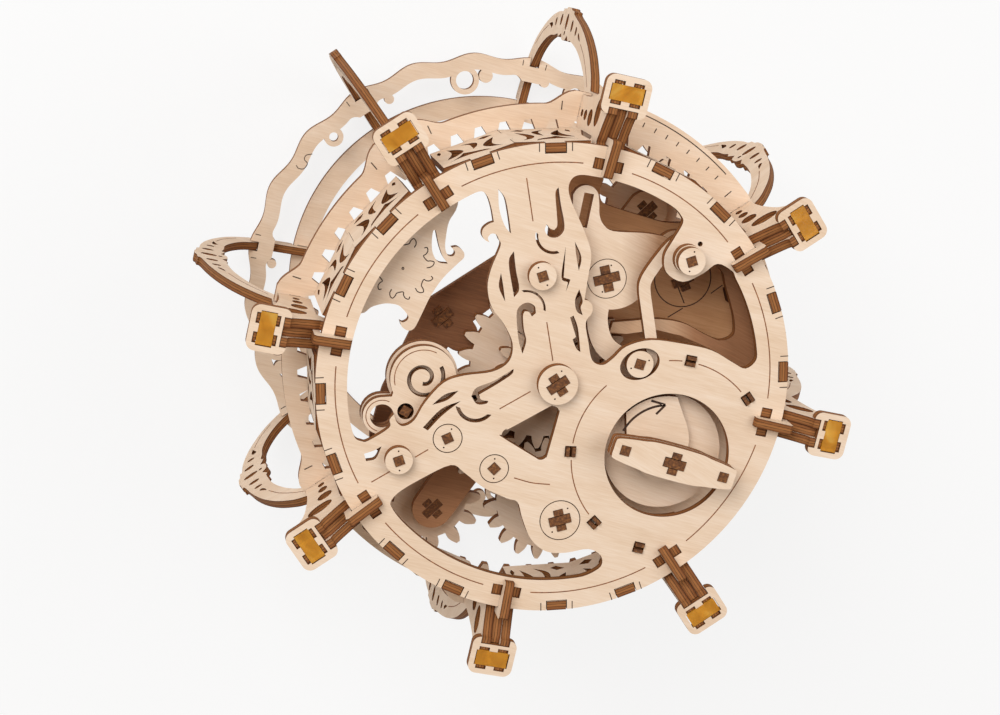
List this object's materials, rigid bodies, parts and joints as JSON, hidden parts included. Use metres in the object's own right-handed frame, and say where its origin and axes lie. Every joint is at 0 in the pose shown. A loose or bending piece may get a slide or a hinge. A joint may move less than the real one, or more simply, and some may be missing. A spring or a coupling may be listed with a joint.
{
  "type": "wooden mechanical puzzle",
  "caption": "Hand wound mechanical puzzle of laser cut plywood: a gear train in a round case on arched legs and a front ring, with amber lenses round the rim.",
  "frame": {"origin": "middle of the bounding box at its underside, which is the flat face of the front ring", "axes": "+Z from the front ring to the winding key, +X and +Y as right and up when the rear plate is seen face on with the key low at the right"},
  "size_m": [0.2176, 0.2176, 0.1717],
  "materials": {
    "birch_plywood": "bare birch plywood, laser cut",
    "charred_plywood": "birch plywood with laser charred edges",
    "amber_acrylic": "clear amber acrylic sheet"
  },
  "bodies": {
    "frame": {"rear_plate": "birch_plywood", "motor_ring": "birch_plywood", "ring_gear_plate": "birch_plywood", "wavy_ring": "birch_plywood", "front_ring": "birch_plywood", "arch_1": "birch_plywood", "arch_2": "birch_plywood", "arch_3": "birch_plywood", "arch_4": "birch_plywood", "arch_5": "birch_plywood", "arch_6": "birch_plywood", "arch_7": "birch_plywood", "arch_8": "birch_plywood", "lantern_arm_1": "birch_plywood", "lantern_arm_2": "birch_plywood", "lantern_arm_3": "birch_plywood", "lantern_arm_4": "birch_plywood", "lantern_arm_5": "birch_plywood", "lantern_arm_6": "birch_plywood", "lantern_arm_7": "birch_plywood", "lantern_arm_8": "birch_plywood", "amber_lens_1": "amber_acrylic", "amber_lens_2": "amber_acrylic", "amber_lens_3": "amber_acrylic", "amber_lens_4": "amber_acrylic", "amber_lens_5": "amber_acrylic", "amber_lens_6": "amber_acrylic", "amber_lens_7": "amber_acrylic", "amber_lens_8": "amber_acrylic", "bay_panel_1": "birch_plywood", "bay_panel_2": "birch_plywood", "bay_panel_3": "birch_plywood", "bay_panel_4": "birch_plywood", "bay_panel_5": "birch_plywood", "bay_panel_6": "birch_plywood", "bay_panel_7": "birch_plywood", "bridge_plate": "charred_plywood", "leaf_spring": "birch_plywood", "sector_plate": "birch_plywood"},
    "winding_shaft": {"winding_key": "birch_plywood", "winding_axle": "charred_plywood", "arrow_disc": "birch_plywood", "winding_drum": "birch_plywood", "drum_gear": "birch_plywood"},
    "main_shaft": {"main_axle": "charred_plywood", "main_pinion": "charred_plywood", "star_gear": "birch_plywood", "planet_carrier_rear": "charred_plywood", "planet_carrier_front": "charred_plywood"},
    "planet_one": {"planet_gear_1": "birch_plywood"},
    "planet_two": {"planet_gear_2": "birch_plywood"},
    "idler_a": {"idler_a_axle": "charred_plywood", "idler_a_wheel": "birch_plywood"},
    "idler_b": {"idler_b_axle": "charred_plywood", "idler_b_wheel": "birch_plywood"},
    "idler_c": {"idler_c_axle": "charred_plywood", "idler_c_pinion": "birch_plywood"},
    "click": {"click_lever": "birch_plywood", "click_lever_axle": "charred_plywood"},
    "scroll": {"scroll_lever": "birch_plywood"}
  },
  "joints": [
    {"name": "winding_key_turn", "type": "hinge", "parent": "frame", "child": "winding_shaft", "pos_m": [0.0351, -0.0265, 0.1416], "axis": [0, 0, 1], "continuous": true},
    {"name": "main_shaft_turn", "type": "hinge", "parent": "frame", "child": "main_shaft", "pos_m": [0, 0, 0.1416], "axis": [0, 0, 1], "continuous": true},
    {"name": "planet_one_turn", "type": "hinge", "parent": "main_shaft", "child": "planet_one", "pos_m": [0.03694, 0.04728, 0.1416], "axis": [0, 0, 1], "continuous": true},
    {"name": "planet_two_turn", "type": "hinge", "parent": "main_shaft", "child": "planet_two", "pos_m": [-0.03694, -0.04728, 0.1416], "axis": [0, 0, 1], "continuous": true},
    {"name": "idler_a_turn", "type": "hinge", "parent": "frame", "child": "idler_a", "pos_m": [-0.0348, -0.0153, 0.1416], "axis": [0, 0, 1], "continuous": true},
    {"name": "idler_b_turn", "type": "hinge", "parent": "frame", "child": "idler_b", "pos_m": [0, -0.045, 0.1416], "axis": [0, 0, 1], "continuous": true},
    {"name": "idler_c_turn", "type": "hinge", "parent": "frame", "child": "idler_c", "pos_m": [-0.0205, -0.0263, 0.1416], "axis": [0, 0, 1], "continuous": true},
    {"name": "click_lever_rock", "type": "hinge", "parent": "frame", "child": "click", "pos_m": [0.0182, 0.0306, 0.1416], "axis": [0, 0, 1], "range_deg": [-2.5, 2.5], "stiffness_Nm_per_rad": 0.01},
    {"name": "scroll_lever_swing", "type": "hinge", "parent": "frame", "child": "scroll", "pos_m": [-0.0472, -0.0065, 0.1416], "axis": [0, 0, 1], "range_deg": [-6, 6]}
  ],
  "couplings": [
    {"joint": "winding_key_turn", "follows": "main_shaft_turn", "ratio": -0.46667},
    {"joint": "planet_one_turn", "follows": "main_shaft_turn", "ratio": -5},
    {"joint": "planet_two_turn", "follows": "main_shaft_turn", "ratio": -5},
    {"joint": "idler_a_turn", "follows": "main_shaft_turn", "ratio": -2.1667},
    {"joint": "idler_b_turn", "follows": "main_shaft_turn", "ratio": -1.3684},
    {"joint": "idler_c_turn", "follows": "main_shaft_turn", "ratio": 2.1667}
  ]
}
